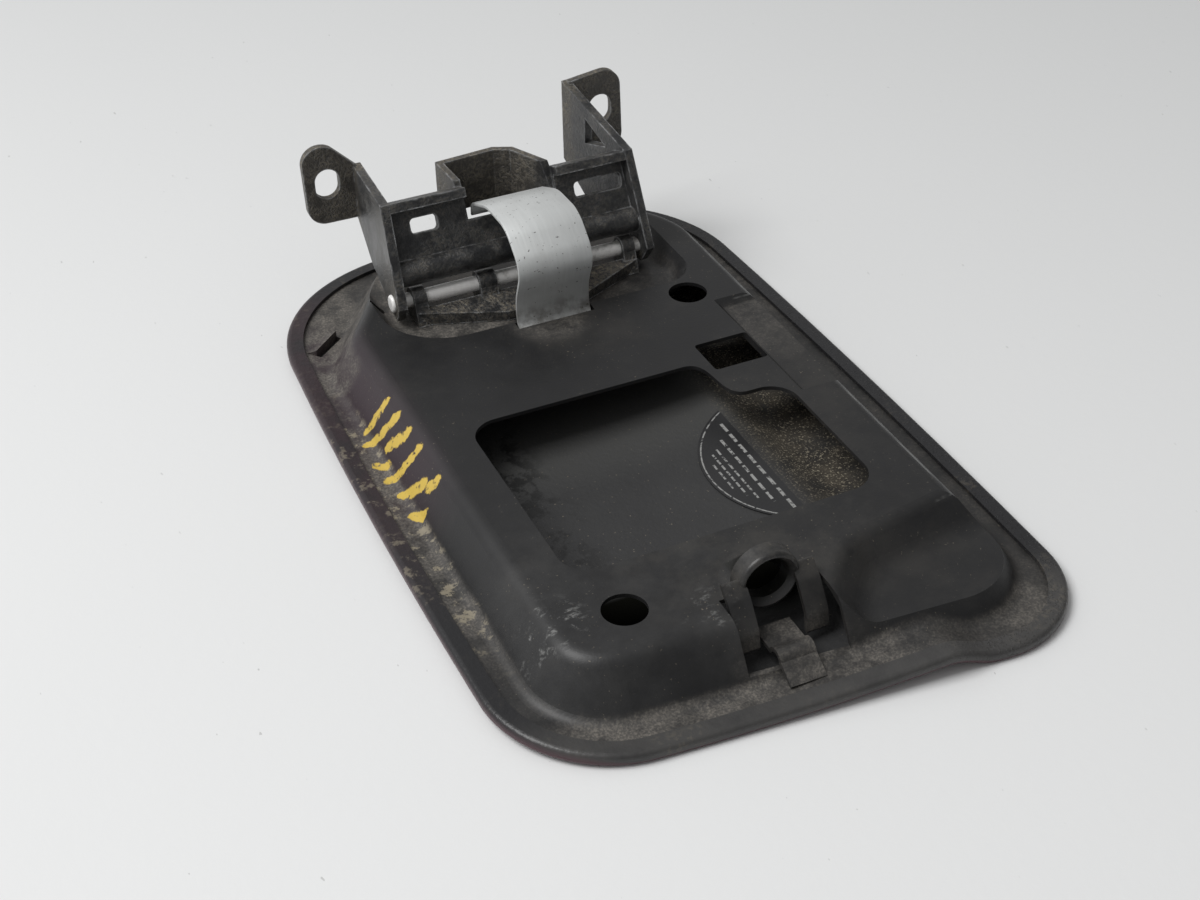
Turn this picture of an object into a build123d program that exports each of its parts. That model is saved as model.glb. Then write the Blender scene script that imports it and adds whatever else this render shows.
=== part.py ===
"""Car fuel door lying on its outer skin, inner side up, hinge at the far (+Y) end, latch eye at the near end.

Millimetres. X runs along the hinge pin, Y along the door towards the hinge, Z up from the floor.
"""

import os
from math import cos, radians, sin, tan

from build123d import *

os.makedirs("parts", exist_ok=True)

# Door outline in plan: bowed long sides and straight ends between these corners, then rounded
near_left = (-65.25, -101.2)
near_right = (65.2, -110.6)
far_right = (62.5, 116.1)
far_left = (-61.9, 96.3)
side_reach = 66.2
far_corner = 44.4
near_left_corner = 28.7
near_right_corner = 24.2

# Skin section across the door: a long arc, a step line and a flat strip at the right
skin_thickness = 0.9
skin_low_x = -30.0
skin_arc_radius = 520.0
crease_x = 24.8
step_foot_x = 37.5
section_margin = 5.8
section_end = side_reach + section_margin
blank_half_length = 130.0

# Hem: the rim of the skin folded over the flange of the panel
hem_width = 4.4
hem_clearance = 0.12
hem_round = 1.2
flange_edge_gap = 0.4
upright_limit = 0.1
level_limit = 0.7

# Inner panel: drawn sheet with a plateau, a lower shelf, a hinge recess and a side pocket
panel_thickness = 1.0
plateau_top = 14.0
wall_margin = 7.6
near_wall_margin = 6.8
near_left_margin = 7.8
near_right_margin = 9.4
foot_far = 95.3
foot_left_bend = 52.3
foot_near_left = (near_left[0] + near_wall_margin, near_left[1] + near_left_margin)
foot_near_right = (near_right[0] - near_wall_margin, near_right[1] + near_right_margin)
foot_far_right = (side_reach - wall_margin, foot_far)
foot_far_left = (-33.5, 92.6)
foot_left = (wall_margin - side_reach, foot_left_bend)
foot_near_corner = 20.0
foot_far_right_corner = 34.0
foot_far_left_corner = 14.0
foot_left_corner = 24.0
wall_draft = 33.0
plateau_round = 4.5
foot_round = 3.0
shelf_top = 7.4
shelf_left = 14.5
shelf_near_bend = -90.0
shelf_far_bend = (23.0, -80.0)
shelf_far = -62.5
shelf_corner_radius = 9.0
shelf_draft = 45.0
shelf_round = 7.0
recess_floor = 9.0
recess_left = -37.2
recess_right = 38.2
recess_near = 41.3
recess_left_corner = 14.0
recess_right_corner = 6.0
recess_draft = 35.0
recess_round = 3.0
pocket_floor = 12.3
pocket_left = 41.0
pocket_near = -18.7
pocket_far = 23.3
pocket_draft = 45.0

# Cut-outs of the inner panel
window_left = -38.5
window_right = 37.3
window_near = -59.5
window_far = 0.8
window_notch = 16.0
window_notch_start = 18.0
window_notch_end = 28.0
window_corner = 7.0
round_hole_radius = 5.0
far_hole = (35.0, 31.3)
near_hole = (-32.7, -73.7)
stop_hole = (32.2, 2.1)
stop_hole_size = (14.6, 12.0)
stop_hole_round = 1.0
spring_slot_size = (21.0, 3.0)
pierced_hole = (-38.6, 64.8)
pierced_hole_radius = 1.8
louver_start = (-56.8, 62.2)
louver_end = (-49.2, 69.2)
louver_slit = 1.4
louver_height = 1.6
louver_reach = 3.2
louver_root = 0.6

# Latch eye at the near end
eye_x = -2.5
eye_z = 15.5
eye_mouth = -80.7
eye_bore = 4.9
eye_bore_length = 3.0
eye_flare = 6.2
eye_flare_depth = 1.4
eye_outer = 7.2
eye_round = 1.0
hood_back = -66.0
hood_drop = 8.4
hood_tip = 5.0
hood_blend = 4.0
seam_band = 0.2
leg_inner = 5.6
leg_outer = 10.8
leg_thickness = 1.2
leg_root = (-1.6, 16.8)
leg_bends = {(1.2, 14.4): 3.0, (5.2, 8.8): 4.0}
leg_end = (6.0, 4.8)
eye_gap_half = 11.6
eye_gap_low = 4.2
tongue_x = -3.0
tongue_half = 4.2
tongue_back = -82.7
tongue_bend = -89.7
tongue_z = 5.6
tongue_foot = -98.6
tongue_bump = 1.4

# Hinge pin and hinge base
pin_y = 58.8
pin_z = 14.8
pin_radius = 2.0
pin_left = -36.0
pin_right = 36.6
pin_head_radius = 2.4
pin_head_length = 0.8
pin_head_round = 0.7
pin_end_chamfer = 0.5
pin_running = 0.06
pin_grip = 0.02
base_sheet = 2.2
base_near = 46.5
base_end = 1.5
base_seat_gap = 0.1
knuckle_radius = 3.1
fin_run = 2.4
knuckles = ((-31.2, -27.6), (-13.0, -8.2), (11.0, 15.8), (28.0, 31.6))
base_left_far = -31.2
base_right_far = 31.6
base_left_near = -9.0
base_right_near = 13.5
base_top_y = 56.2
base_top_z = 12.8
base_bend_z = 11.8

# Body-side bracket, leaning back from the pin
lean = 22.0
wall_thickness = 2.4
left_wall_x = -34.6
left_wall_slant = 4.0
right_wall_x = 34.4
right_wall_slant = 9.5
rim_front = 5.0
rim_foot = -1.4
rim_top = 25.6
rim_thickness = 2.4
rim_depth = 5.0
right_rim_end = 33.6
boss_radius = 4.2
ear_y = 91.3
ear_thickness = 2.0
ear_round = 5.0
slot_width = 6.6
slot_height = 8.6
left_slot = (-41.0, 34.9)
right_slot = (38.0, 39.4)
left_ear_top = 38.2
left_ear_low = 23.4
left_ear_corners = ((-39.9, 45.8), (-47.4, 45.8), (-46.9, 23.6))
left_tail = (80.3, 15.5)
right_ear_top = 49.2
right_ear_low = 26.0
right_ear_corners = ((44.0, 51.2), (44.6, 26.4))
right_tail = (80.3, 17.0)
right_wall_opening = ((14.0, 38.0), (24.0, 42.5), (24.0, 35.0))
web_front = 1.9
web_thickness = 2.0
web_low = 9.2
web_mid = 16.8
pocket_half = 12.6
ridge_s = 7.0
ridge_out = 1.2
left_window = (-24.2, 18.5)
left_window_size = (7.4, 4.0)
right_window = (24.6, 18.1)
right_window_size = (13.6, 4.0)
window_round = 1.2
ridge_radius = 3.4
ridge_bore = 2.2
strap_low = 25.5
strap_top = 40.4
strap_thickness = 1.8
strap_corners = (
    (-13.4, 54.3),
    (-14.6, 80.3),
    (2.0, 81.7),
    (7.0, 79.3),
    (13.6, 65.3),
    (13.6, 54.3),
)

# Leaf spring
spring_thickness = 0.8
spring_width = 20.0
spring_x = -0.5
spring_slot_y = 36.0
spring_foot = (30.4, 12.4)
spring_bends = {
    (36.4, 12.4): 2.6,
    (37.9, 19.3): 12.0,
    (33.2, 31.0): 6.0,
    (42.3, 38.9): 9.0,
    (55.0, 38.6): 14.0,
    (66.0, 34.0): 2.0,
}
spring_tip = (66.4, 30.6)

# Label stuck on the inside of the skin
label_thickness = 0.25
label_gap = 0.1
label_centre = (36.0, -30.2)
label_radius = 26.2
label_chord = 24.2

# Sheet positions that follow from the values above
flange_low = skin_thickness + hem_clearance
flange_top = flange_low + panel_thickness
hem_low = flange_top + hem_clearance
hem_top = hem_low + skin_thickness
flange_inset = skin_thickness + flange_edge_gap


def round_corners(plan, corners):
    """Round each corner point of an outline by its radius."""
    for point, radius in corners.items():
        fillet(plan.vertices().sort_by_distance(Vector(*point))[0], radius)


def skin_height(x):
    """Height of the outer face of the skin above the floor on its long arc."""
    return (x - skin_low_x) ** 2 / (2 * skin_arc_radius)


def door_plan(inset):
    """Plan outline of the door, moved in by inset."""
    with BuildSketch() as plan:
        with BuildLine():
            ThreePointArc(near_left, (-side_reach, 0), far_left)
            Line(far_left, far_right)
            ThreePointArc(far_right, (side_reach, 0), near_right)
            Line(near_right, near_left)
        make_face()
        round_corners(
            plan,
            {
                near_left: near_left_corner,
                near_right: near_right_corner,
                far_right: far_corner,
                far_left: far_corner,
            },
        )
        if inset:
            offset(amount=-inset)
    return plan.sketch


def section_line(height):
    """The section of the skin, raised by height; returns its two ends."""
    arc = ThreePointArc(
        (-section_end, skin_height(-section_end) + height),
        (skin_low_x, height),
        (crease_x, skin_height(crease_x) + height),
    )
    Spline(arc @ 1, (step_foot_x, height), tangents=(arc % 1, (1, 0)))
    strip = Line((step_foot_x, height), (section_end, height))
    return arc @ 0, strip @ 1


def section_slab(low, high, plan):
    """Slab between two heights above the outer face of the skin, cut to a plan outline."""
    with BuildPart() as slab:
        with BuildSketch(Plane.XZ):
            with BuildLine():
                low_left, low_right = section_line(low)
                high_left, high_right = section_line(high)
                Line(low_left, high_left)
                Line(low_right, high_right)
            make_face()
        extrude(amount=blank_half_length, both=True)
        with BuildSketch():
            add(plan)
        extrude(amount=blank_half_length, both=True, mode=Mode.INTERSECT)
    return slab.part


def shelf_tool(inset):
    """Cutter that lowers the near right corner of the plateau to the shelf."""
    far_away = 2 * side_reach
    left_bend = (shelf_left - inset, shelf_near_bend)
    far_bend = (shelf_far_bend[0] - inset / 2, shelf_far_bend[1] + inset)
    with BuildPart() as tool:
        with BuildSketch(Plane.XY.offset(shelf_top - inset)) as plan:
            with BuildLine():
                Polyline(
                    (shelf_left - inset, -far_away),
                    left_bend,
                    far_bend,
                    (far_away, shelf_far + inset),
                    (far_away, -far_away),
                    close=True,
                )
            make_face()
            round_corners(plan, {left_bend: shelf_corner_radius, far_bend: shelf_corner_radius})
        extrude(amount=plateau_top, taper=-shelf_draft)
        floor = tool.faces().sort_by(Axis.Z)[0]
        fillet(floor.edges().sort_by_distance(Vector(*left_bend, shelf_top))[:-2], shelf_round + inset)
    return tool.part


def recess_tool(inset):
    """Cutter for the dished recess under the hinge, open at the far end."""
    far_away = 2 * side_reach
    left = recess_left - inset
    right = recess_right + inset
    near = recess_near - inset
    with BuildPart() as tool:
        with BuildSketch(Plane.XY.offset(recess_floor - inset)) as plan:
            with BuildLine():
                Polyline((left, near), (right, near), (right, far_away), (left, far_away), close=True)
            make_face()
            round_corners(plan, {(left, near): recess_left_corner, (right, near): recess_right_corner})
        extrude(amount=plateau_top, taper=-recess_draft)
        floor = tool.faces().sort_by(Axis.Z)[0]
        fillet(floor.edges().sort_by(Axis.Y)[:-1], recess_round + inset)
    return tool.part


def pocket_tool(inset):
    """Cutter for the shallow pocket at the right edge of the plateau."""
    far_away = 2 * side_reach
    left = pocket_left - inset
    with BuildPart() as tool:
        with BuildSketch(Plane.XY.offset(pocket_floor - inset)):
            with BuildLine():
                Polyline(
                    (left, pocket_near - inset),
                    (far_away, pocket_near - inset),
                    (far_away, pocket_far + inset),
                    (left, pocket_far + inset),
                    close=True,
                )
            make_face()
        extrude(amount=plateau_top, taper=-pocket_draft)
    return tool.part


def panel_form(inset):
    """Solid under the upper face of the panel sheet, or under its lower face where inset is the thickness."""
    slab = section_slab(-plateau_top, flange_top - inset, door_plan(flange_inset))
    shelf = shelf_tool(inset)
    recess = recess_tool(inset)
    pocket = pocket_tool(inset)
    with BuildPart() as form:
        with BuildSketch() as foot:
            with BuildLine():
                near_side = (foot_near_left, foot_near_right)
                Polyline(*near_side, foot_far_right, foot_far_left, foot_left, close=True)
            make_face()
            round_corners(
                foot,
                {
                    foot_near_left: foot_near_corner,
                    foot_near_right: foot_near_corner,
                    foot_far_right: foot_far_right_corner,
                    foot_far_left: foot_far_left_corner,
                    foot_left: foot_left_corner,
                },
            )
            if inset:
                offset(amount=-inset / cos(radians(wall_draft)))
        extrude(amount=plateau_top - inset, taper=wall_draft)
        add(shelf, mode=Mode.SUBTRACT)
        fillet(form.faces().sort_by(Axis.Z)[-1].edges(), plateau_round - inset)
        raised = form.part
        add(slab)
        fillet(new_edges(raised, slab, combined=form.part), foot_round + inset)
        add(recess, mode=Mode.SUBTRACT)
        add(pocket, mode=Mode.SUBTRACT)
    return form.part


def hood_form(inset):
    """Tapered hood behind the latch eye, above the lower face of the plateau, moved in by inset."""
    with BuildPart() as form:
        with BuildSketch(Plane.XZ.offset(-eye_gap_far)):
            with Locations((eye_x, eye_z)):
                Circle(eye_outer - inset)
        with BuildSketch(Plane.XZ.offset(-hood_back + inset)):
            with Locations((eye_x, eye_z - hood_drop)):
                Circle(hood_tip - inset / 2)
        loft()
        with BuildSketch(Plane.XY.offset(plateau_top - panel_thickness)):
            Rectangle(4 * side_reach, 4 * side_reach)
        extrude(amount=-side_reach, mode=Mode.SUBTRACT)
    return form.part


def base_form(inset):
    """Solid of the hinge base, or of the space under its sheet, moved in by inset."""
    with BuildPart() as form:
        with BuildSketch(Plane.YZ.offset(base_left_far)):
            with BuildLine():
                Polyline(
                    (base_near, base_seat),
                    (base_near, base_bend_z - inset),
                    (base_top_y, base_top_z - inset),
                    (base_top_y, base_seat),
                    close=True,
                )
            make_face()
        extrude(amount=base_right_far - base_left_far)
        with BuildSketch():
            with BuildLine():
                Polyline(
                    (base_left_far, base_top_y),
                    (base_left_far, base_top_y - base_end),
                    (base_left_near, base_near),
                    (base_right_near, base_near),
                    (base_right_far, base_top_y - base_end),
                    (base_right_far, base_top_y),
                    close=True,
                )
            make_face()
            if inset:
                offset(amount=-inset, kind=Kind.INTERSECTION)
        extrude(amount=2 * pin_z, mode=Mode.INTERSECT)
    return form.part


def wall_plane(x, slant):
    """Upright plane of a side wall, through the pin line at x and turned by slant about the vertical."""
    angle = radians(slant)
    return Plane(origin=(x, pin_y, 0), x_dir=(sin(angle), cos(angle), 0), z_dir=(cos(angle), -sin(angle), 0))


def rim_point(s):
    """Y and Z of the front rim at the distance s up the bracket."""
    y = pin_y + s * sin(radians(lean)) - rim_front * cos(radians(lean))
    return (y, pin_z + s * cos(radians(lean)) + rim_front * sin(radians(lean)))


def wall_points(slant, ear_top, ear_low, tail):
    """Outline of a side wall on its own plane, from the front rim round to the pin boss."""
    outline = (
        rim_point(rim_foot),
        rim_point(rim_top),
        (ear_y + ear_thickness, ear_top),
        (ear_y + ear_thickness, ear_low),
        tail,
        (pin_y + boss_radius / 2, pin_z - boss_radius),
        (pin_y - boss_radius / 2, pin_z - boss_radius),
    )
    return [((y - pin_y) / cos(radians(abs(slant))), z) for y, z in outline]


def strap_form():
    """Walls of the pocket behind the spring, cut off along the front of the web."""
    with BuildPart() as form:
        with BuildSketch(Plane.XY.offset(strap_low)):
            with BuildLine():
                Polyline(*strap_corners, close=True)
            make_face()
            offset(amount=-strap_thickness, kind=Kind.INTERSECTION, mode=Mode.SUBTRACT)
        extrude(amount=strap_top - strap_low)
        with BuildSketch(bracket_plane.offset(web_front - web_thickness / 2)):
            Rectangle(4 * side_reach, 4 * side_reach)
        extrude(amount=side_reach, mode=Mode.SUBTRACT)
    return form.part


base_seat = recess_floor + base_seat_gap
lean_angle = radians(lean)
bracket_plane = Plane(origin=(0, pin_y, pin_z), x_dir=(1, 0, 0), z_dir=(0, -cos(lean_angle), sin(lean_angle)))
left_wall_plane = wall_plane(left_wall_x, left_wall_slant)
right_wall_plane = wall_plane(right_wall_x, -right_wall_slant)
left_bend_x = left_wall_x + (ear_y - pin_y) * tan(radians(left_wall_slant))
right_bend_x = right_wall_x - (ear_y - pin_y) * tan(radians(right_wall_slant))
ridge_centre = (
    pin_y + ridge_s * sin(lean_angle) - ridge_out * cos(lean_angle),
    pin_z + ridge_s * cos(lean_angle) + ridge_out * sin(lean_angle),
)
eye_gap_far = eye_mouth + eye_round
eye_plane = Plane(origin=(eye_x, eye_mouth, 0), x_dir=(1, 0, 0), z_dir=(0, -1, 0))
louver_run = Vector(*louver_end) - Vector(*louver_start)
louver_length = louver_run.length
louver_base = skin_height(louver_start[0]) + flange_top
louver_plane = Plane(
    origin=(louver_end[0], louver_end[1], louver_base),
    x_dir=(-louver_run.Y, louver_run.X, 0),
    z_dir=(louver_run.X, louver_run.Y, 0),
)


# Outer skin: one pressed sheet whose rim is folded over to a hem
skin_blank = section_slab(0, hem_top, door_plan(0))
hem_space = section_slab(skin_thickness, hem_low, door_plan(skin_thickness))
skin_opening = section_slab(skin_thickness, plateau_top, door_plan(hem_width))

with BuildPart() as outer_skin:
    add(skin_blank)
    sides = outer_skin.faces()
    rim_faces = sides.filter_by(lambda face: abs(face.normal_at(face.center()).Z) < upright_limit)
    rim_edges = ShapeList(edge for face in rim_faces for edge in face.edges())
    fillet(rim_edges.filter_by(lambda edge: abs((edge % 0.5).Z) < level_limit), hem_round)
    add(hem_space, mode=Mode.SUBTRACT)
    add(skin_opening, mode=Mode.SUBTRACT)

# Inner panel: one drawn sheet, the space between two forms, with a hood drawn up behind the latch eye
hood_outside = hood_form(0)
hood_inside = hood_form(panel_thickness)
with BuildPart() as eye_tube:
    with BuildSketch(eye_plane):
        with Locations((0, eye_z)):
            Circle(eye_outer)
    extrude(amount=-(eye_flare_depth + eye_bore_length))
    fillet(eye_tube.edges().sort_by(Axis.Y)[0], eye_round)
upper_form = panel_form(0)
lower_form = panel_form(panel_thickness)

with BuildPart() as inner_panel:
    add(upper_form)
    add(lower_form, mode=Mode.SUBTRACT)

    # Window with a stepped far edge
    with BuildSketch() as window:
        with BuildLine():
            step = Spline(
                (window_notch_end, window_far - window_notch),
                (window_notch_start, window_far),
                tangents=((-1, 0), (-1, 0)),
            )
            Polyline(
                step @ 1,
                (window_left, window_far),
                (window_left, window_near),
                (window_right, window_near),
                (window_right, window_far - window_notch),
                step @ 0,
            )
        make_face()
        outer_points = window.vertices().sort_by(Axis.X)
        fillet(outer_points[:2] + outer_points[-2:], window_corner)
    extrude(amount=2 * plateau_top, mode=Mode.SUBTRACT)

    # Two round holes, the stop hole, the slot of the spring and a pierced hole beside the hinge
    with BuildSketch(Plane.XY.offset(recess_floor - 2 * panel_thickness)):
        with Locations(far_hole, near_hole):
            Circle(round_hole_radius)
        with Locations(stop_hole):
            RectangleRounded(*stop_hole_size, radius=stop_hole_round)
        with Locations((spring_x, spring_slot_y)):
            Rectangle(*spring_slot_size)
        with Locations(pierced_hole):
            Circle(pierced_hole_radius)
    extrude(amount=plateau_top, mode=Mode.SUBTRACT)

    # Louver in the flange at the far left corner: a raised lip behind a slit
    with BuildSketch(louver_plane.offset(-louver_length)):
        with BuildLine():
            Polyline(
                (0, louver_height),
                (louver_reach, 0),
                (louver_reach, -louver_root),
                (0, -louver_root),
                close=True,
            )
        make_face()
    extrude(amount=louver_length)
    with BuildSketch(louver_plane.offset(-louver_length)):
        with Locations((-louver_slit / 2, 0)):
            Rectangle(louver_slit, 4 * panel_thickness)
    extrude(amount=louver_length, mode=Mode.SUBTRACT)

    # Latch eye: opening in the near wall, tapered hood, tube and two legs
    with BuildSketch(Plane.XY.offset(eye_gap_low)):
        with Locations((eye_x, (foot_near_right[1] + eye_gap_far) / 2)):
            Rectangle(2 * eye_gap_half, eye_gap_far - foot_near_right[1])
    extrude(amount=2 * plateau_top, mode=Mode.SUBTRACT)
    sheet = inner_panel.part
    add(hood_outside)
    seam = new_edges(sheet, hood_outside, combined=inner_panel.part)
    fillet(seam.filter_by_position(Axis.Z, plateau_top - seam_band, plateau_top + seam_band), hood_blend)
    add(hood_inside, mode=Mode.SUBTRACT)
    add(eye_tube.part)
    for start in (eye_x - leg_outer, eye_x + leg_inner):
        with BuildSketch(Plane.YZ.offset(start)):
            with BuildLine() as leg:
                bends = {(eye_mouth - run, z): radius for (run, z), radius in leg_bends.items()}
                root = (eye_mouth - leg_root[0], leg_root[1])
                Polyline(root, *bends, (eye_mouth - leg_end[0], leg_end[1]))
                round_corners(leg, bends)
                offset(amount=leg_thickness / 2)
            make_face()
        extrude(amount=leg_outer - leg_inner)
    with BuildSketch(Plane.YZ.offset(eye_x)):
        with BuildLine():
            Polyline(
                (eye_mouth, eye_z),
                (eye_mouth, eye_z + eye_flare),
                (eye_mouth + eye_flare_depth, eye_z + eye_bore),
                (eye_mouth + eye_flare_depth + eye_bore_length, eye_z + eye_bore),
                (eye_mouth + eye_flare_depth + eye_bore_length, eye_z),
                close=True,
            )
        make_face()
    revolve(axis=Axis((eye_x, 0, eye_z), (0, 1, 0)), mode=Mode.SUBTRACT)

    # Tongue bent up from the flange under the eye
    with BuildSketch(Plane.YZ.offset(tongue_x - tongue_half)):
        with BuildLine() as tongue_line:
            flat = Line((tongue_back, tongue_z), (tongue_bend, tongue_z))
            bump = ThreePointArc(
                flat @ 1,
                (tongue_bend - 2 * tongue_bump, tongue_z + tongue_bump),
                (tongue_bend - 3 * tongue_bump, tongue_z),
            )
            Line(bump @ 1, (tongue_foot, skin_height(tongue_x) + flange_top))
        trace(tongue_line.edges(), line_width=panel_thickness)
    extrude(amount=2 * tongue_half)

# Hinge base: bent leaf with knuckles, standing on the floor of the recess
base_shell = base_form(0)
base_hollow = base_form(base_sheet)

with BuildPart() as hinge_base:
    add(base_shell)
    add(base_hollow, mode=Mode.SUBTRACT)
    for start, end in knuckles:
        with BuildSketch(Plane.YZ.offset(start)):
            with Locations((pin_y, pin_z)):
                Circle(knuckle_radius)
            with BuildLine():
                Polyline(
                    (pin_y - knuckle_radius, pin_z),
                    (pin_y - knuckle_radius - fin_run, base_seat),
                    (pin_y + knuckle_radius, base_seat),
                    (pin_y + knuckle_radius, pin_z),
                    close=True,
                )
            make_face()
        extrude(amount=end - start)
    with BuildSketch(Plane.YZ.offset(base_left_far)):
        with Locations((pin_y, pin_z)):
            Circle(pin_radius + pin_running)
    extrude(amount=base_right_far - base_left_far, mode=Mode.SUBTRACT)

# Hinge pin with a peened head at its left end
with BuildPart() as hinge_pin:
    with BuildSketch(Plane.YZ.offset(pin_left)):
        with Locations((pin_y, pin_z)):
            Circle(pin_radius)
    extrude(amount=pin_right - pin_left)
    with BuildSketch(Plane.YZ.offset(pin_left)):
        with Locations((pin_y, pin_z)):
            Circle(pin_head_radius)
    extrude(amount=-pin_head_length)
    fillet(hinge_pin.faces().sort_by(Axis.X)[0].edges(), pin_head_round)
    chamfer(hinge_pin.faces().sort_by(Axis.X)[-1].edges(), pin_end_chamfer)

# Body-side bracket: side walls with slotted ears, top rim, web, rolled ridge, pocket behind the spring
pocket_strap = strap_form()

with BuildPart() as hinge_bracket:
    with BuildSketch(left_wall_plane):
        with BuildLine():
            Polyline(*wall_points(left_wall_slant, left_ear_top, left_ear_low, left_tail), close=True)
        make_face()
        with Locations((0, pin_z)):
            Circle(boss_radius)
    extrude(amount=wall_thickness / 2, both=True)
    with BuildSketch(right_wall_plane):
        with BuildLine():
            Polyline(*wall_points(right_wall_slant, right_ear_top, right_ear_low, right_tail), close=True)
        make_face()
        with Locations((0, pin_z)):
            Circle(boss_radius)
        with BuildLine():
            Polyline(*right_wall_opening, close=True)
        make_face(mode=Mode.SUBTRACT)
    extrude(amount=wall_thickness / 2, both=True)
    with BuildSketch(Plane.XZ.offset(-ear_y)) as ears:
        with BuildLine():
            left_bend = ((left_bend_x, left_ear_low), (left_bend_x, left_ear_top))
            Polyline(*left_bend, *left_ear_corners, close=True)
        make_face()
        with BuildLine():
            right_bend = ((right_bend_x, right_ear_low), (right_bend_x, right_ear_top))
            Polyline(*right_bend, *right_ear_corners, close=True)
        make_face()
        outer = ears.vertices().sort_by(Axis.X)
        fillet(outer[: len(left_ear_corners)] + outer[-len(right_ear_corners) :], ear_round)
        with Locations(left_slot, right_slot):
            SlotOverall(slot_height, slot_width, rotation=90, mode=Mode.SUBTRACT)
    extrude(amount=-ear_thickness)
    with BuildSketch(bracket_plane.offset(rim_front)):
        with BuildLine():
            Polyline(
                (left_wall_x, rim_top - rim_thickness),
                (left_wall_x, rim_top),
                (-pocket_half, rim_top),
                (-pocket_half, rim_top - rim_thickness),
                close=True,
            )
        make_face()
        with BuildLine():
            Polyline(
                (pocket_half, rim_top - rim_thickness),
                (pocket_half, rim_top),
                (right_rim_end, rim_top),
                (right_rim_end, rim_top - rim_thickness),
                close=True,
            )
        make_face()
    extrude(amount=-rim_depth)
    with BuildSketch(bracket_plane.offset(web_front)):
        with BuildLine():
            Polyline(
                (left_wall_x, web_low),
                (left_wall_x, rim_top),
                (right_rim_end, rim_top),
                (right_rim_end, web_low),
                close=True,
            )
        make_face()
        with BuildLine():
            Polyline(
                (-pocket_half, web_mid),
                (-pocket_half, rim_top),
                (pocket_half, rim_top),
                (pocket_half, web_mid),
                close=True,
            )
        make_face(mode=Mode.SUBTRACT)
        with Locations(left_window):
            RectangleRounded(*left_window_size, radius=window_round, mode=Mode.SUBTRACT)
        with Locations(right_window):
            RectangleRounded(*right_window_size, radius=window_round, mode=Mode.SUBTRACT)
    extrude(amount=-web_thickness)
    with BuildSketch(Plane.YZ.offset(left_wall_x)):
        with Locations(ridge_centre):
            Circle(ridge_radius)
    extrude(amount=right_rim_end - left_wall_x)
    with BuildSketch(Plane.YZ.offset(left_wall_x + wall_thickness)):
        with Locations(ridge_centre):
            Circle(ridge_bore)
    extrude(amount=right_rim_end - left_wall_x - 2 * wall_thickness, mode=Mode.SUBTRACT)
    add(pocket_strap)
    with BuildSketch(Plane.XZ.offset(-ear_y - ear_thickness)):
        Rectangle(4 * side_reach, 4 * side_reach)
    extrude(amount=-wall_thickness, mode=Mode.SUBTRACT)
    with BuildSketch(Plane.YZ.offset(2 * pin_left)):
        with Locations((pin_y, pin_z)):
            Circle(pin_radius + pin_grip)
    extrude(amount=4 * pin_right, mode=Mode.SUBTRACT)

# Leaf spring: one bent strip from the slot in the panel over the pin to the edge of the web
with BuildPart() as leaf_spring:
    with BuildSketch(Plane.YZ.offset(spring_x - spring_width / 2)):
        with BuildLine() as strip:
            Polyline(spring_foot, *spring_bends, spring_tip)
            round_corners(strip, spring_bends)
            offset(amount=spring_thickness / 2)
        make_face()
    extrude(amount=spring_width)

# Label: segment of a circle stuck on the inside of the skin
with BuildSketch() as label_plan:
    with Locations(label_centre):
        Circle(label_radius)
    with Locations((label_chord + label_radius, label_centre[1])):
        Rectangle(2 * label_radius, 2 * label_radius, mode=Mode.SUBTRACT)

label_low = skin_thickness + label_gap
label_slab = section_slab(label_low, label_low + label_thickness, label_plan.sketch)

with BuildPart() as fuel_label:
    add(label_slab)

pieces = {
    "outer_skin": outer_skin,
    "inner_panel": inner_panel,
    "hinge_base": hinge_base,
    "hinge_pin": hinge_pin,
    "hinge_bracket": hinge_bracket,
    "leaf_spring": leaf_spring,
    "fuel_label": fuel_label,
}
for name, piece in pieces.items():
    piece.part.label = name
    export_step(piece.part, f"parts/{name}.step")
    print(name, len(piece.solids()), piece.part.is_valid, round(piece.part.volume), piece.part.bounding_box())
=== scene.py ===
from math import cos, radians, sin, tan

import bmesh
import bpy
from mathutils import Matrix, Vector


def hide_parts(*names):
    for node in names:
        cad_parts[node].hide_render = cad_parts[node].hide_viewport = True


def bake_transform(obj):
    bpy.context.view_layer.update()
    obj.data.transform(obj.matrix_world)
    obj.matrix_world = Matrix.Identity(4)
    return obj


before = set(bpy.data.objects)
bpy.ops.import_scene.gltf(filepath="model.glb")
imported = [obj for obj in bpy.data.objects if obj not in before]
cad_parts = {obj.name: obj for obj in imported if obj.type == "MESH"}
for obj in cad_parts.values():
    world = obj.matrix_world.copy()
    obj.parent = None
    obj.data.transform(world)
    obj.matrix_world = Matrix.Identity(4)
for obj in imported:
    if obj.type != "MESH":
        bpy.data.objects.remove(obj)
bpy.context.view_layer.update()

# Outer skin: one pressed steel sheet whose rim is folded over the panel as a hem.
# Dark maroon body paint outside, black primer on the hem and grey inside, where soil has settled.


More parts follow.
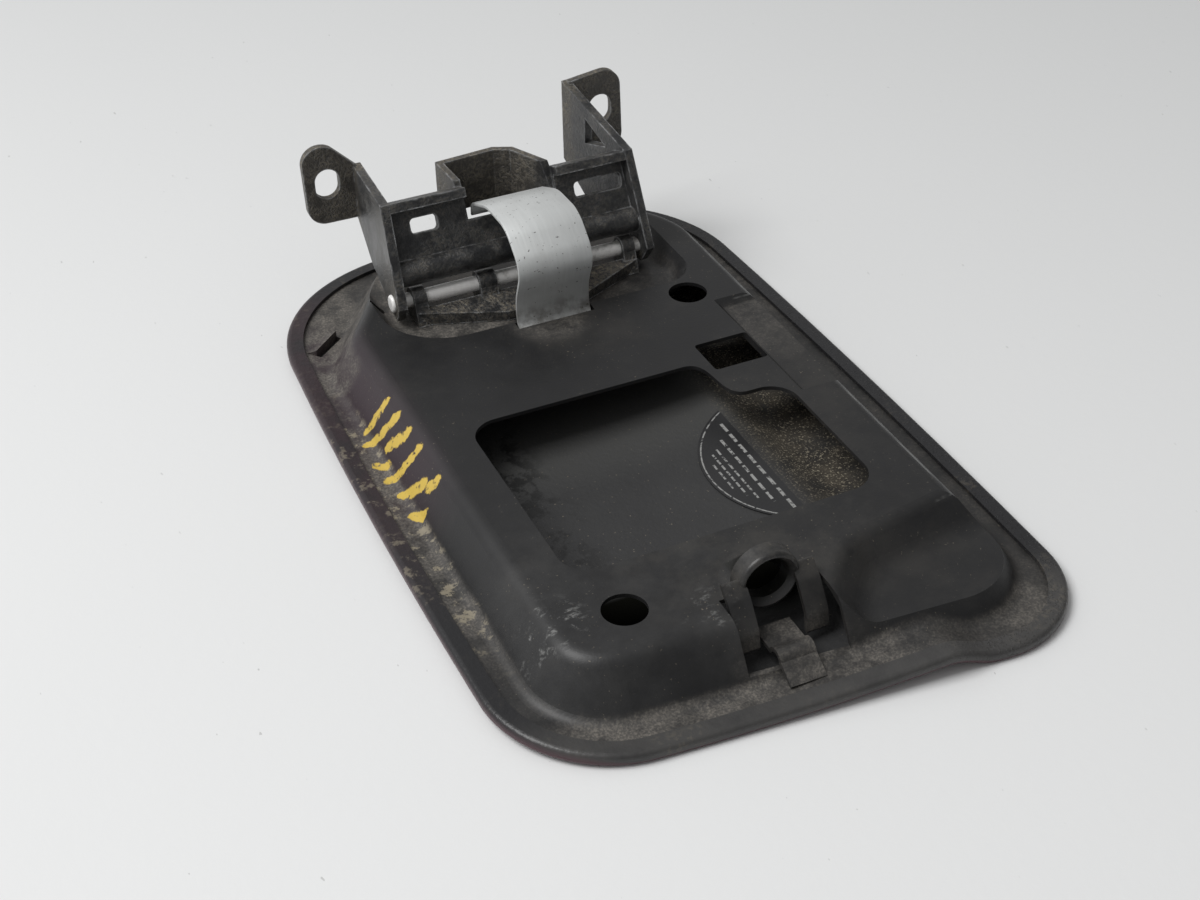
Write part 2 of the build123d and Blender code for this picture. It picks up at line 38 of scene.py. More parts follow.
class Finish:
    """One procedural finish: a glossy shader, the place on the part and the nodes that feed them."""

    def __init__(self, name):
        self.material = bpy.data.materials.new(name)
        self.material.use_nodes = True
        self.tree = self.material.node_tree
        self.shader = self.tree.nodes["Principled BSDF"]
        self.place = self.add("TexCoord").outputs["Object"]
        axes = self.add("SeparateXYZ", {"Vector": self.place}).outputs
        self.x, self.y, self.z = axes["X"], axes["Y"], axes["Z"]

    def add(self, kind, inputs=(), **settings):
        """New node with its settings, and its inputs as values or as links."""
        node = self.tree.nodes.new("ShaderNode" + kind)
        for key, value in settings.items():
            setattr(node, key, value)
        for key, value in dict(inputs).items():
            if isinstance(value, bpy.types.NodeSocket):
                self.tree.links.new(value, node.inputs[key])
            else:
                node.inputs[key].default_value = value
        return node

    def calc(self, operation, a, b=0.0):
        """One math operation on two values."""
        return self.add("Math", {0: a, 1: b}, operation=operation).outputs["Value"]

    def times(self, *values):
        """Product of all the values."""
        product = values[0]
        for value in values[1:]:
            product = self.calc("MULTIPLY", product, value)
        return product

    def most(self, *values):
        """Largest of all the values."""
        largest = values[0]
        for value in values[1:]:
            largest = self.calc("MAXIMUM", largest, value)
        return largest

    def length(self, a, b):
        """Length of the long side of a right triangle with sides a and b."""
        return self.calc("SQRT", self.calc("ADD", self.times(a, a), self.times(b, b)))

    def step(self, value, low, high, start=0.0, end=1.0):
        """Smooth change from start to end while value goes from low to high."""
        limits = {"Value": value, "From Min": low, "From Max": high, "To Min": start, "To Max": end}
        return self.add("MapRange", limits, interpolation_type="SMOOTHSTEP").outputs["Result"]

    def band(self, value, low, high, soft):
        """1 between low and high, fading to 0 over soft on each side."""
        return self.times(self.step(value, low - soft, low), self.step(value, high + soft, high))

    def noise(self, size, detail=4.0, roughness=0.6, stretch=(1.0, 1.0, 1.0)):
        """Cloudy value from 0 to 1 with features of about size metres, drawn out by stretch."""
        scale = [1.0 / s for s in stretch]
        place = self.add("Mapping", {"Vector": self.place, "Scale": scale}).outputs["Vector"]
        inputs = {"Vector": place, "Scale": 1.0 / size, "Detail": detail, "Roughness": roughness}
        return self.add("TexNoise", inputs).outputs["Fac"]

    def mix(self, factor, a, b):
        """Colour a turning into colour b as factor goes from 0 to 1."""
        node = self.add("Mix", {0: factor}, data_type="RGBA")
        for index, value in ((6, a), (7, b)):
            if isinstance(value, bpy.types.NodeSocket):
                self.tree.links.new(value, node.inputs[index])
            else:
                node.inputs[index].default_value = (*value, 1.0)
        return node.outputs[2]

    def facing(self):
        """Direction that the surface faces, as its three axes."""
        normal = self.add("NewGeometry").outputs["Normal"]
        return self.add("SeparateXYZ", {"Vector": normal}).outputs

    def from_spot(self, spot):
        """Distance from a spot in plan."""
        flat = self.add("CombineXYZ", {"X": self.x, "Y": self.y}).outputs["Vector"]
        inputs = {0: flat, 1: (*spot, 0.0)}
        return self.add("VectorMath", inputs, operation="DISTANCE").outputs["Value"]

    def near(self, spot, radius):
        """1 at a spot in plan, fading to 0 at radius from it."""
        return self.step(self.from_spot(spot), radius, 0.4 * radius)

    def show(self, colour, roughness, height, depth):
        """Feed the shader with a colour, a roughness and a surface relief of depth metres."""
        relief = {"Height": height, "Strength": 1.0, "Distance": depth}
        bump = self.add("Bump", relief).outputs["Normal"]
        for socket, value in (("Base Color", colour), ("Roughness", roughness), ("Normal", bump)):
            self.tree.links.new(value, self.shader.inputs[socket])

    def put_on(self, *node_names):
        """Give nodes of the part this finish."""
        for name in node_names:
            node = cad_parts[name]
            if not node.material_slots:
                node.data.materials.append(self.material)
            for slot in node.material_slots:
                slot.material = self.material


bow_low_x = -0.030
bow_diameter = 1.04
step_line_x = 0.0248
flat_strip_x = 0.0375


def above_skin(finish):
    """Height above the outer face of the skin, which bows up to a step line near its right side."""
    from_low = finish.calc("SUBTRACT", finish.x, bow_low_x)
    bow = finish.calc("DIVIDE", finish.times(from_low, from_low), bow_diameter)
    bow = finish.times(bow, finish.step(finish.x, flat_strip_x, step_line_x))
    return finish.calc("SUBTRACT", finish.z, bow)


maroon = (0.050, 0.012, 0.020)
black_coat = (0.012, 0.012, 0.0135)
hem_maroon = (0.044, 0.020, 0.026)
hem_highlight_grey = (0.056, 0.054, 0.052)
dust_tan = (0.180, 0.155, 0.118)
primer_dark = (0.020, 0.020, 0.021)
primer_light = (0.034, 0.034, 0.034)
primer_painted_light = (0.062, 0.062, 0.060)
stain_black = (0.007, 0.007, 0.007)
soil_dark = (0.018, 0.015, 0.011)
soil_light = (0.062, 0.052, 0.037)
grit_tan = (0.29, 0.255, 0.190)
shade_black = (0.005, 0.005, 0.004)
hem_foot = 0.0016
hem_crest = 0.0022
under_hole = (-0.027, -0.061)
under_eye = (0.006, -0.064)
shade_radius = 0.017
skin_relief = 0.00012

skin = Finish("skin_paint")
upward = skin.step(skin.facing()["Z"], 0.5, 0.85)
height = above_skin(skin)
hem_top = skin.times(upward, skin.step(height, hem_foot, hem_crest))
inside = skin.times(upward, skin.step(height, hem_crest, hem_foot))
cloud = skin.noise(0.016)
grain = skin.noise(0.0013, 3.0)
left_side = skin.step(skin.x, -0.040, -0.058)
far_side = skin.step(skin.y, -0.060, 0.010)
paint_mist = skin.times(left_side, far_side, skin.step(cloud, 0.25, 0.60), 0.5)
hem_colour = skin.mix(paint_mist, black_coat, hem_maroon)
# Painted highlight: the hem along the near edge is laid on in paler grey cloudy patches, standing in
# for the sheen on its rounded rim.
near_hem_highlight = skin.times(skin.step(skin.y, -0.080, -0.098), skin.step(cloud, 0.25, 0.60, 0.4, 0.9))
hem_colour = skin.mix(near_hem_highlight, hem_colour, hem_highlight_grey)
left_middle = skin.times(left_side, skin.band(skin.y, -0.030, 0.015, 0.025))
lump = skin.times(left_middle, skin.step(skin.noise(0.0045, 5.0, 0.7), 0.55, 0.63))
hem_dust = skin.times(skin.step(cloud, 0.50, 0.70), skin.step(grain, 0.48, 0.64), 0.25)
hem_colour = skin.mix(skin.most(skin.times(lump, 0.7), hem_dust), hem_colour, dust_tan)

inner_colour = skin.mix(cloud, primer_dark, primer_light)
# Painted light: the inside of the skin is made paler towards the far edge of the window, to lift the
# shade that the plateau casts there.
far_painted_light = skin.step(skin.y, -0.022, -0.003, 0.0, 0.8)
inner_colour = skin.mix(far_painted_light, inner_colour, primer_painted_light)
right_soil = skin.times(skin.step(skin.x, 0.022, 0.033), skin.step(skin.noise(0.010), 0.15, 0.55))
stain_patch = skin.step(skin.noise(0.0075, 5.0, 0.7), 0.47, 0.56)
left_stain = skin.times(skin.step(skin.x, -0.018, -0.030), stain_patch)
inner_colour = skin.mix(skin.times(left_stain, 0.8), inner_colour, stain_black)
soil_patch = skin.step(skin.noise(0.0060, 5.0, 0.7), 0.35, 0.65)
soil_colour = skin.mix(soil_patch, soil_dark, soil_light)
inner_colour = skin.mix(skin.times(right_soil, 0.9), inner_colour, soil_colour)
grit = skin.step(skin.noise(0.00055, 2.0), 0.55, 0.66)
inner_colour = skin.mix(skin.times(right_soil, grit), inner_colour, grit_tan)
speck = skin.step(skin.noise(0.0007, 1.0), 0.735, 0.76)
inner_colour = skin.mix(skin.times(speck, 0.6), inner_colour, dust_tan)
# Painted shade: the inside of the skin is painted near black under the near plug hole and under the
# latch eye, where the plateau keeps the light off.
painted_shade_spots = skin.most(skin.near(under_hole, shade_radius), skin.near(under_eye, shade_radius))
painted_shade_spots = skin.times(painted_shade_spots, skin.step(skin.y, -0.0545, -0.0575))
inner_colour = skin.mix(painted_shade_spots, inner_colour, shade_black)

paint_edge = skin.step(left_side, 0.0, 1.0, 0.0013, 0.0030)
side_colour = skin.mix(skin.step(height, paint_edge, 0.0007), hem_colour, maroon)
skin_colour = skin.mix(hem_top, skin.mix(inside, side_colour, inner_colour), hem_colour)
soil_roughness = skin.times(right_soil, inside, 0.35)
skin_roughness = skin.calc("ADD", skin.step(inside, 0.0, 1.0, 0.36, 0.50), soil_roughness)
# The sheen is taken away inside the painted shade as well.
sheen_off_in_shade = skin.step(painted_shade_spots, 0.0, 1.0, 0.5, 0.0)
skin.tree.links.new(sheen_off_in_shade, skin.shader.inputs["Specular IOR Level"])
skin_height = skin.calc("ADD", grain, skin.times(right_soil, grit))
skin.show(skin_colour, skin_roughness, skin_height, skin_relief)
skin.put_on("outer_skin")

# Inner panel: one drawn steel sheet with a black dip coat, its flange clamped in the hem of the skin.
# Satin black with tan dust where water has stood, pale scuffs by the latch and a few paint strokes.
coat_dark = (0.0085, 0.0085, 0.0092)
coat_light = (0.0140, 0.0140, 0.0145)
film_grey = (0.060, 0.060, 0.060)
smear_brown = (0.052, 0.048, 0.042)
mist_maroon = (0.034, 0.018, 0.026)
dust_dark = (0.100, 0.092, 0.083)
dust_light = (0.165, 0.150, 0.130)
hood_brown = (0.080, 0.074, 0.066)
lump_tan = (0.300, 0.262, 0.190)
bore_shade_black = (0.007, 0.007, 0.006)
edge_wear_highlight_grey = (0.26, 0.26, 0.25)
scuff_grey = (0.33, 0.33, 0.32)
stroke_yellow = (0.58, 0.41, 0.070)
near_corner = (0.050, -0.097)
spring_slot = (-0.002, 0.0356)
latch_foot = (-0.0025, -0.092)
latch_hood = (-0.0025, -0.0750)
near_left = (-0.034, -0.074)
behind_latch = (0.002, -0.060)
left_scuff = (-0.0480, -0.0710)
latch_scuff = (-0.0170, -0.0810)
bore_centre_x = -0.0025
bore_centre_z = 0.0155
panel_relief = 0.00003

panel = Finish("panel_coat")
upper_side = panel.step(panel.facing()["Z"], -0.10, 0.10)
height = above_skin(panel)
cloud = panel.noise(0.020)
fine = panel.noise(0.0080, 6.0, 0.75)
grain = panel.noise(0.00055, 2.0)
flange = panel.step(height, 0.0044, 0.0026)
left_flange = panel.step(panel.x, -0.046, -0.054)
left_run = panel.times(left_flange, panel.band(panel.y, -0.045, 0.020, 0.030))
far_left = panel.times(panel.step(panel.x, -0.026, -0.044), panel.step(panel.y, 0.040, 0.062))
near_flange = panel.step(panel.y, -0.084, -0.094)
near_run = panel.times(near_flange, panel.step(panel.x, 0.030, 0.010, 0.40, 1.0))
right_flange = panel.step(panel.x, 0.046, 0.054)
right_run = panel.times(right_flange, panel.step(panel.y, 0.000, 0.050, 0.10, 0.60))
corner_run = panel.times(panel.near(near_corner, 0.012), 0.8)
dust_runs = panel.most(left_run, far_left, near_run, right_run, corner_run, 0.25)
flange_dust = panel.times(flange, dust_runs, panel.step(cloud, 0.20, 0.60, 0.60, 1.0))
recess_floor = panel.times(panel.step(panel.z, 0.0128, 0.0100), panel.step(panel.y, 0.038, 0.044))
recess_dust = panel.times(recess_floor, panel.step(cloud, 0.30, 0.55))
recess_dust = panel.times(recess_dust, panel.step(panel.x, 0.040, -0.030, 0.35, 1.0))
slot_dust = panel.times(panel.near(spring_slot, 0.013), 0.7)
pocket_length = panel.band(panel.y, -0.018, 0.0225, 0.002)
side_pocket = panel.times(panel.band(panel.x, 0.0415, 0.0500, 0.0015), pocket_length)
pocket_dust = panel.times(side_pocket, panel.step(panel.y, -0.012, 0.014, 0.05, 0.40))
latch_dust = panel.times(panel.near(latch_foot, 0.017), panel.step(panel.z, 0.0110, 0.0060), 0.8)
dust = panel.most(flange_dust, recess_dust, slot_dust, pocket_dust, latch_dust)
dust = panel.times(dust, upper_side, panel.step(fine, 0.34, 0.60, 0.18, 1.0))
dust = panel.times(dust, panel.step(grain, 0.30, 0.65, 0.70, 1.0))

panel_colour = panel.mix(panel.step(cloud, 0.3, 0.7), coat_dark, coat_light)
film_patch = panel.step(panel.noise(0.012, 6.0, 0.7), 0.35, 0.70)
film = panel.times(panel.near(near_left, 0.050), film_patch)
panel_colour = panel.mix(panel.times(film, 0.25), panel_colour, film_grey)
smear_patch = panel.step(panel.noise(0.014, 6.0, 0.72), 0.40, 0.66)
smear = panel.times(panel.near(behind_latch, 0.045), smear_patch)
wide_smear = panel.times(panel.step(panel.noise(0.030, 6.0, 0.72), 0.48, 0.72), 0.6)
smear = panel.most(smear, wide_smear)
panel_colour = panel.mix(panel.times(smear, 0.45), panel_colour, smear_brown)
mist_run = panel.band(panel.y, 0.000, 0.060, 0.030)
paint_mist = panel.times(panel.step(panel.x, -0.044, -0.054), mist_run, 0.7)
panel_colour = panel.mix(paint_mist, panel_colour, mist_maroon)
dust_colour = panel.mix(panel.step(grain, 0.40, 0.70), dust_dark, dust_light)
panel_colour = panel.mix(dust, panel_colour, dust_colour)
hood_film = panel.times(panel.near(latch_hood, 0.017), panel.step(panel.z, 0.0142, 0.0165))
hood_film = panel.times(hood_film, panel.step(fine, 0.35, 0.60), 0.5)
panel_colour = panel.mix(hood_film, panel_colour, hood_brown)
lump_patch = panel.step(panel.noise(0.0034, 5.0, 0.7), 0.54, 0.62)
lump = panel.times(flange, left_run, upper_side, lump_patch)
panel_colour = panel.mix(panel.times(lump, 0.75), panel_colour, lump_tan)
# Painted shade: the bore of the latch eye is painted near black, as the shade deep inside it.
bore_x = panel.calc("SUBTRACT", panel.x, bore_centre_x)
bore_z = panel.calc("SUBTRACT", panel.z, bore_centre_z)
in_bore = panel.step(panel.length(bore_x, bore_z), 0.0060, 0.0050)
eye_painted_shade = panel.times(in_bore, panel.band(panel.y, -0.0795, -0.0700, 0.0008))
panel_colour = panel.mix(eye_painted_shade, panel_colour, bore_shade_black)
# A pale broken line along the sharp right edge of the plateau: partly worn coat, partly a painted
# highlight on the edge.
shelf_edge = panel.band(panel.z, 0.01325, 0.01345, 0.00012)
edge_wear_and_highlight = panel.times(shelf_edge, panel.step(panel.x, 0.044, 0.046))
edge_wear_and_highlight = panel.times(edge_wear_and_highlight, panel.step(panel.noise(0.012), 0.42, 0.60), 0.55)
panel_colour = panel.mix(edge_wear_and_highlight, panel_colour, edge_wear_highlight_grey)
scratch = panel.step(panel.noise(0.0008, 3.0, 0.6, (2.5, 1.0, 1.0)), 0.42, 0.62)
scuffed = panel.times(panel.near(latch_scuff, 0.008), 0.7)
scuffed = panel.most(panel.near(left_scuff, 0.010), scuffed)
scuffed = panel.times(scuffed, panel.step(panel.noise(0.0045, 5.0, 0.7), 0.50, 0.62))
panel_colour = panel.mix(panel.times(scratch, scuffed, 0.45), panel_colour, scuff_grey)
flyspeck = panel.step(panel.noise(0.0006, 1.0), 0.725, 0.76)
flyspeck = panel.times(flyspeck, panel.step(cloud, 0.40, 0.60), 0.6)
panel_colour = panel.mix(flyspeck, panel_colour, dust_tan)


def brush_stroke(finish, start, end, width):
    """Mask of one brush stroke between two points in plan, with a ragged edge."""
    along = Vector(end) - Vector(start)
    unit = along.normalized()
    x = finish.calc("SUBTRACT", finish.x, start[0])
    y = finish.calc("SUBTRACT", finish.y, start[1])
    run = finish.calc("ADD", finish.times(x, unit.x), finish.times(y, unit.y))
    run = finish.calc("MINIMUM", finish.most(run, 0.0), along.length)
    gap_x = finish.calc("SUBTRACT", x, finish.times(run, unit.x))
    gap_y = finish.calc("SUBTRACT", y, finish.times(run, unit.y))
    fray = finish.times(finish.calc("SUBTRACT", finish.noise(0.0022), 0.5), width)
    ragged = finish.calc("ADD", finish.length(gap_x, gap_y), fray)
    return finish.step(ragged, 0.60 * width, 0.42 * width)


stroke_width = 0.0022
stroke_ends = (
    ((-0.0562, 0.0232), (-0.0512, 0.0222)),
    ((-0.0578, 0.0192), (-0.0508, 0.0148)),
    ((-0.0546, 0.0118), (-0.0510, 0.0076)),
    ((-0.0584, 0.0102), (-0.0566, 0.0078)),
    ((-0.0582, 0.0034), (-0.0508, 0.0002)),
    ((-0.0572, -0.0036), (-0.0532, -0.0084)),
    ((-0.0526, -0.0112), (-0.0512, -0.0128)),
    ((-0.0576, -0.0118), (-0.0558, -0.0146)),
)
strokes = panel.most(*(brush_stroke(panel, *ends, stroke_width) for ends in stroke_ends))
strokes = panel.times(strokes, panel.step(panel.noise(0.0016), 0.30, 0.45), upper_side)
panel_colour = panel.mix(strokes, panel_colour, stroke_yellow)
coat_roughness = panel.step(cloud, 0.3, 0.7, 0.38, 0.48)
panel_roughness = panel.calc("ADD", coat_roughness, panel.times(dust, 0.35))
panel_height = panel.calc("ADD", grain, panel.times(dust, fine, 4.0))
panel.show(panel_colour, panel_roughness, panel_height, panel_relief)
panel.put_on("inner_panel")

# Label: thin dark film stuck on the inside of the skin, cut off straight beside the step line.
# It is printed with a pale rim line and plain dashes, a little worn.
film_dark = (0.012, 0.012, 0.013)
film_light = (0.020, 0.020, 0.021)
print_grey = (0.34, 0.34, 0.33)
label_centre = (0.0360, -0.0302)
rim_inner = 0.02535
rim_outer = 0.02560
print_soft = 0.0001
dash_origin = -0.1
label_relief = 0.00005

label = Finish("label_film")
print_mask = label.band(label.from_spot(label_centre), rim_inner, rim_outer, print_soft)
dash_rows = (
    (0.0222, -0.0490, -0.0120, 0.0007, 0.0047),
    (0.0193, -0.0440, -0.0175, 0.0006, 0.0038),
    (0.0167, -0.0410, -0.0200, 0.0004, 0.0031),
    (0.0150, -0.0390, -0.0215, 0.0004, 0.0024),
    (0.0134, -0.0350, -0.0250, 0.0004, 0.0043),
)
for row, low, high, thick, pitch in dash_rows:
    on_row = label.band(label.x, row - thick / 2, row + thick / 2, print_soft)
    in_run = label.band(label.y, low, high, print_soft)
    dashes = label.calc("DIVIDE", label.calc("SUBTRACT", label.y, dash_origin), pitch)
    on_dash = label.step(label.calc("FRACT", dashes), 0.76, 0.72)
    print_mask = label.most(print_mask, label.times(on_row, in_run, on_dash))
worn = label.step(label.noise(0.0010, 3.0), 0.34, 0.52)
label_colour = label.mix(label.noise(0.012), film_dark, film_light)
label_colour = label.mix(label.times(print_mask, worn, 0.8), label_colour, print_grey)
label_roughness = label.step(print_mask, 0.0, 1.0, 0.38, 0.55)
label.show(label_colour, label_roughness, label.noise(0.0015), label_relief)
label.put_on("fuel_label")

# Hinge base and body-side bracket: bent steel with a thin dark grey coat.
# Brown dust lies in the web and on the ears, and the coat is worn to a pale line along the edges,
# which is also painted as a highlight on them.
grey_dark = (0.016, 0.0165, 0.0178)
grey_light = (0.044, 0.0455, 0.048)
film_brown = (0.088, 0.080, 0.068)
hinge_tan = (0.240, 0.210, 0.160)
worn_steel_highlight = (0.33, 0.335, 0.34)
edge_band_width = 0.0008
hinge_relief = 0.00016

hinge = Finish("hinge_coat")
cloud = hinge.noise(0.013)
patch = hinge.noise(0.0050, 6.0, 0.70)
grain = hinge.noise(0.0008, 3.0, 0.7)
facing = hinge.facing()
lying = hinge.step(facing["Z"], -0.2, 0.7, 0.45, 1.0)
outward = hinge.times(hinge.step(facing["X"], -0.3, -0.8), hinge.step(hinge.x, -0.034, -0.037))
ear = hinge.step(hinge.y, 0.086, 0.091)
box = hinge.times(hinge.band(hinge.x, -0.022, 0.018, 0.003), hinge.step(hinge.y, 0.066, 0.074))
base_top = hinge.step(hinge.z, 0.0155, 0.0125)
dusty = hinge.most(outward, ear, box, hinge.times(base_top, 0.9), 0.30)
dust = hinge.times(dusty, hinge.step(cloud, 0.28, 0.55, 0.3, 1.0), hinge.step(patch, 0.34, 0.62))
dust = hinge.times(dust, hinge.step(grain, 0.36, 0.62), lying)
hinge_colour = hinge.mix(hinge.step(patch, 0.35, 0.65), grey_dark, grey_light)
film = hinge.times(hinge.most(outward, ear, box), 0.50)
hinge_colour = hinge.mix(film, hinge_colour, film_brown)
hinge_colour = hinge.mix(dust, hinge_colour, hinge_tan)
# Pale line on every edge found from the Bevel normal: worn coat, and a painted highlight along the
# edges.
round_normal = hinge.add("Bevel", {"Radius": edge_band_width}, samples=6).outputs["Normal"]
plain_normal = hinge.add("NewGeometry").outputs["Normal"]
normals = {0: round_normal, 1: plain_normal}
turn = hinge.add("VectorMath", normals, operation="DOT_PRODUCT").outputs["Value"]
wear_patch = hinge.step(hinge.noise(0.0045, 5.0, 0.7), 0.42, 0.60, 0.08, 1.0)
worn = hinge.times(hinge.step(turn, 0.985, 0.88), wear_patch, 0.9)
hinge_colour = hinge.mix(worn, hinge_colour, worn_steel_highlight)
coat_roughness = hinge.step(cloud, 0.3, 0.7, 0.30, 0.42)
hinge_roughness = hinge.calc("ADD", coat_roughness, hinge.times(dust, 0.40))
hinge_height = hinge.calc("ADD", grain, hinge.times(dust, 2.0))
hinge.show(hinge_colour, hinge_roughness, hinge_height, hinge_relief)
hinge.put_on("hinge_base", "hinge_bracket")

# Hinge pin: drawn steel rod with a peened head, bright where it shows between the knuckles.
# Faint grooves run round it, and grease has left dark smears.
steel_dull = (0.76, 0.75, 0.73)
steel_bright = (0.90, 0.89, 0.87)
grease_brown = (0.16, 0.15, 0.13)
round_the_rod = (1.0, 20.0, 20.0)
pin_relief = 0.00004

pin = Finish("pin_steel")
pin.shader.inputs["Metallic"].default_value = 0.10
ring = pin.noise(0.0006, 2.0, 0.5, round_the_rod)
smear = pin.step(pin.noise(0.006), 0.50, 0.68)
pin_colour = pin.mix(ring, steel_dull, steel_bright)
pin_colour = pin.mix(pin.times(smear, 0.7), pin_colour, grease_brown)
pin.show(pin_colour, pin.step(smear, 0.0, 1.0, 0.30, 0.50), ring, pin_relief)
pin.put_on("hinge_pin")

# Leaf spring: one bent strip of zinc-plated spring steel, hooked in the panel and behind the web.
# It is rolled from a flat strip, so it is one strip here too, with each bend turned to its radius.
spring_x = -0.0005
spring_width = 0.0200
spring_thickness = 0.0008
spring_path = (
    (0.0304, 0.0124),
    (0.0364, 0.0124),
    (0.0379, 0.0193),
    (0.0332, 0.0310),
    (0.0423, 0.0389),
    (0.0550, 0.0386),
    (0.0660, 0.0340),
    (0.0664, 0.0306),
)
bend_radii = (0.0026, 0.0120, 0.0060, 0.0090, 0.0140, 0.0020)
bend_segments = 9
rim_round = 0.00018
bpy.ops.object.select_all(action="DESELECT")
bpy.ops.mesh.primitive_plane_add(size=1.0)
spring = bpy.context.object
spring.name = "spring_strip"
bpy.ops.object.mode_set(mode="EDIT")
foot_y, foot_z = spring_path[0]
first_run = spring_path[1][0] - foot_y
bpy.ops.transform.resize(value=(spring_width, first_run, 1.0))
bpy.ops.transform.translate(value=(spring_x, foot_y + first_run / 2, foot_z))


def select_across(point):
    """Select the strip's cross edge at a path point."""
    mesh = bmesh.from_edit_mesh(spring.data)
    bpy.ops.mesh.select_all(action="DESELECT")
    for edge in mesh.edges:
        if all((Vector(vertex.co.yz) - Vector(point)).length < 1e-5 for vertex in edge.verts):
            edge.select_set(True)
    bmesh.update_edit_mesh(spring.data)


bpy.ops.mesh.select_mode(type="EDGE")
select_across(spring_path[1])
for here, there in zip(spring_path[1:], spring_path[2:]):
    run = (0.0, there[0] - here[0], there[1] - here[1])
    bpy.ops.mesh.extrude_region_move(TRANSFORM_OT_translate={"value": run})
for before, corner, after, radius in zip(spring_path, spring_path[1:], spring_path[2:], bend_radii):
    turn = (Vector(corner) - Vector(before)).angle(Vector(after) - Vector(corner))
    setback = radius * tan(turn / 2)
    select_across(corner)
    bpy.ops.mesh.bevel(offset=setback, segments=bend_segments, affect="EDGES", clamp_overlap=False)
bpy.ops.mesh.select_all(action="SELECT")
bpy.ops.mesh.normals_make_consistent(inside=False)
bpy.ops.object.mode_set(mode="OBJECT")
solid = spring.modifiers.new("sheet", "SOLIDIFY")
solid.thickness = spring_thickness
solid.offset = 0.0
rim = spring.modifiers.new("rim", "BEVEL")
rim.width = rim_round
rim.segments = 2
rim.limit_method = "ANGLE"
rim.angle_limit = radians(50)
for name in ("sheet", "rim"):
    bpy.ops.object.modifier_apply(modifier=name)
bpy.ops.object.shade_smooth_by_angle(angle=radians(35))

zinc_dull = (0.56, 0.575, 0.57)
zinc_bright = (0.68, 0.695, 0.69)
zinc_cloud = (0.40, 0.40, 0.39)
zinc_shade = (0.15, 0.15, 0.145)
speck_brown = (0.06, 0.055, 0.05)
soil_brown = (0.068, 0.056, 0.042)
along_the_strip = (1.0, 18.0, 18.0)
zinc_relief = 0.00004

zinc = Finish("spring_steel")
zinc.shader.inputs["Metallic"].default_value = 0.35
brushed = zinc.noise(0.0007, 3.0, 0.6, along_the_strip)
cloud = zinc.noise(0.011)
zinc_colour = zinc.mix(brushed, zinc_dull, zinc_bright)
zinc_colour = zinc.mix(zinc.step(cloud, 0.45, 0.75, 0.0, 0.30), zinc_colour, zinc_cloud)
speck = zinc.step(zinc.noise(0.0008, 1.0), 0.70, 0.74)
zinc_colour = zinc.mix(zinc.times(speck, 0.8), zinc_colour, speck_brown)
low_shade = zinc.step(zinc.z, 0.0300, 0.0150, 0.0, 0.45)
zinc_colour = zinc.mix(low_shade, zinc_colour, zinc_shade)
foot_dirt = zinc.times(zinc.step(zinc.z, 0.0205, 0.0145), zinc.step(zinc.noise(0.004), 0.35, 0.60))
zinc_colour = zinc.mix(zinc.times(foot_dirt, 0.6), zinc_colour, soil_brown)
zinc.show(zinc_colour, zinc.step(cloud, 0.3, 0.7, 0.44, 0.56), brushed, zinc_relief)
spring.data.materials.append(zinc.material)
zinc.put_on("leaf_spring")
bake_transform(spring)
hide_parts("leaf_spring")

# Floor: one large sheet of pale matt paper that lies flat under the door.
# It is painted darker towards the far right as shade, and a few fine hairs lie on it.
paper_dull = (0.77, 0.775, 0.775)
paper_bright = (0.80, 0.805, 0.805)
paper_far_shade = (0.54, 0.55, 0.55)
hair_grey = (0.30, 0.30, 0.29)
paper_relief = 0.00005
bpy.ops.mesh.primitive_plane_add(size=2.6)
floor = bpy.context.object
floor.name = "floor"
paper = Finish("floor_paper")
paper.shader.inputs["Specular IOR Level"].default_value = 0.2
tint = paper.mix(paper.noise(0.25, 2.0), paper_dull, paper_bright)
# Painted shade: the paper darkens towards the far right.
far_shade_ramp = paper.calc("ADD", paper.times(paper.x, 0.55), paper.times(paper.y, 0.85))
tint = paper.mix(paper.step(far_shade_ramp, -0.35, 0.75, 0.0, 0.75), tint, paper_far_shade)
hair = paper.step(paper.noise(0.0016, 2.0, 0.5, (1.0, 2.5, 1.0)), 0.752, 0.775)
tint = paper.mix(paper.times(hair, 0.45), tint, hair_grey)
paper_roughness = paper.step(paper.noise(0.02), 0.0, 1.0, 0.85, 0.95)
paper.show(tint, paper_roughness, paper.noise(0.003), paper_relief)
floor.data.materials.append(paper.material)

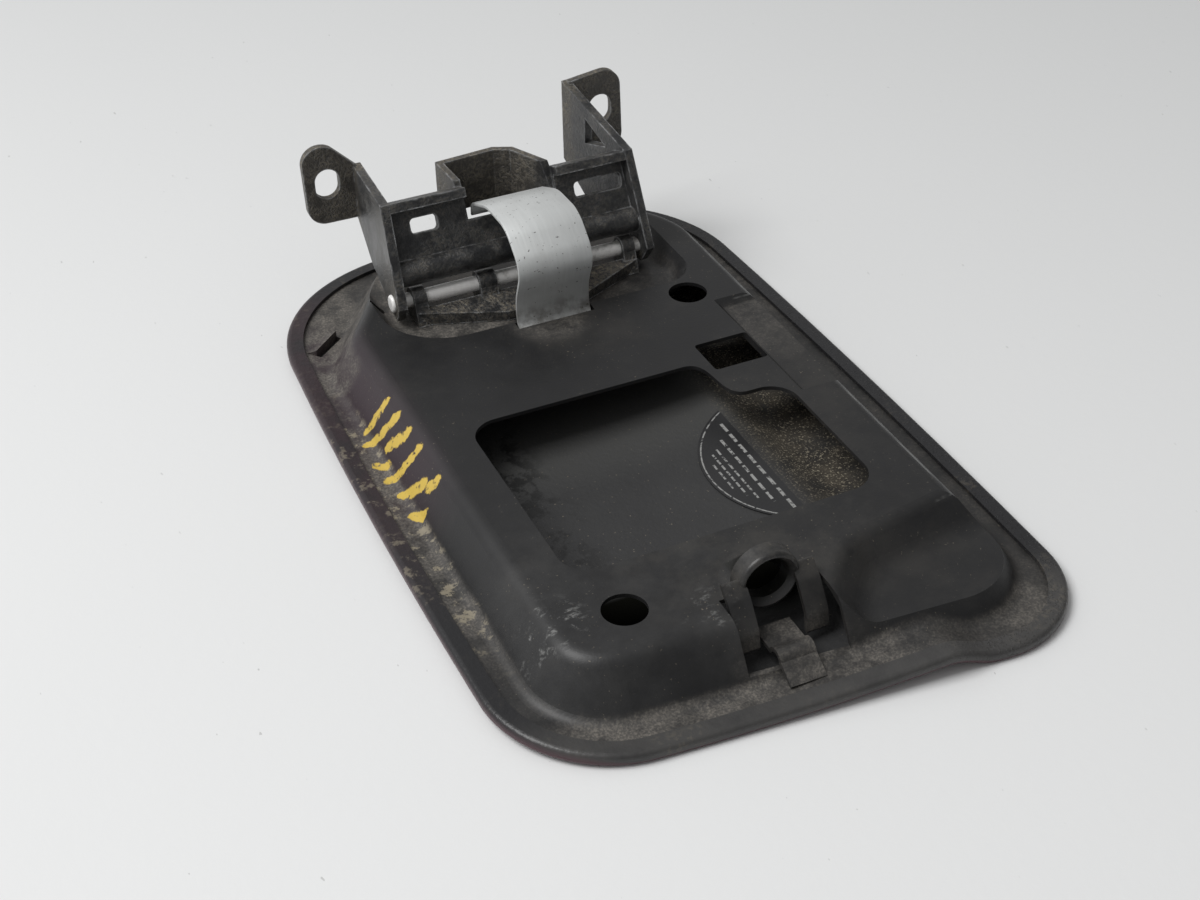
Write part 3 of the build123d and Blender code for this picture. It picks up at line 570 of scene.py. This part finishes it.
# Light: one large soft box above the left, and a pale room that is darker towards the right.
# The room is white where the camera sees it.
bright_side = (-0.65, 0.30, 0.55)
room_range = {"From Min": -0.6, "From Max": 1.0, "To Min": 0.10, "To Max": 0.66}
world = bpy.data.worlds.new("room")
bpy.context.scene.world = world
world.use_nodes = True
nodes = world.node_tree.nodes
links = world.node_tree.links
background = nodes["Background"]
background.inputs["Color"].default_value = (1.0, 1.0, 1.0, 1.0)
lean = nodes.new("ShaderNodeVectorMath")
lean.operation = "DOT_PRODUCT"
lean.inputs[1].default_value = bright_side
room = nodes.new("ShaderNodeMapRange")
for key, value in room_range.items():
    room.inputs[key].default_value = value
seen = nodes.new("ShaderNodeMath")
seen.operation = "MAXIMUM"
links.new(nodes.new("ShaderNodeTexCoord").outputs["Generated"], lean.inputs[0])
links.new(lean.outputs["Value"], room.inputs["Value"])
links.new(nodes.new("ShaderNodeLightPath").outputs["Is Camera Ray"], seen.inputs[0])
links.new(room.outputs["Result"], seen.inputs[1])
links.new(seen.outputs["Value"], background.inputs["Strength"])
lamp_place = Vector((-0.75, 0.12, 1.15))
lamp_size = 0.8
lamp_watts = 14.0
bpy.ops.object.light_add(type="AREA", location=lamp_place)
lamp = bpy.context.object
lamp.name = "window_light"
lamp.data.size = lamp_size
lamp.data.energy = lamp_watts
lamp.rotation_euler = (-lamp_place).to_track_quat("-Z", "Y").to_euler()

# Camera: in front of the latch end, a little to the left, looking down at the hinge.
# It is rolled by about a degree and has a slightly long lens.
eye_point = Vector((-0.1518, -0.3318, 0.2642))
pitch = radians(36.38)
heading = radians(23.9)
roll = radians(-1.29)
forward = Vector((sin(heading) * cos(pitch), cos(heading) * cos(pitch), -sin(pitch)))
sideways = forward.cross(Vector((0, 0, 1))).normalized()
upright = sideways.cross(forward)
right = sideways * cos(roll) + upright * sin(roll)
top = upright * cos(roll) - sideways * sin(roll)
turned = Matrix((right, top, -forward)).transposed().to_4x4()
bpy.ops.object.camera_add()
camera = bpy.context.object
camera.name = "camera"
camera.matrix_world = Matrix.Translation(eye_point) @ turned
camera.data.sensor_width = 36.0
camera.data.sensor_fit = "HORIZONTAL"
camera.data.lens = 55.14
camera.data.clip_start = 0.01
bpy.context.scene.camera = camera
bpy.context.scene.view_settings.view_transform = "Standard"

bpy.context.view_layer.update()
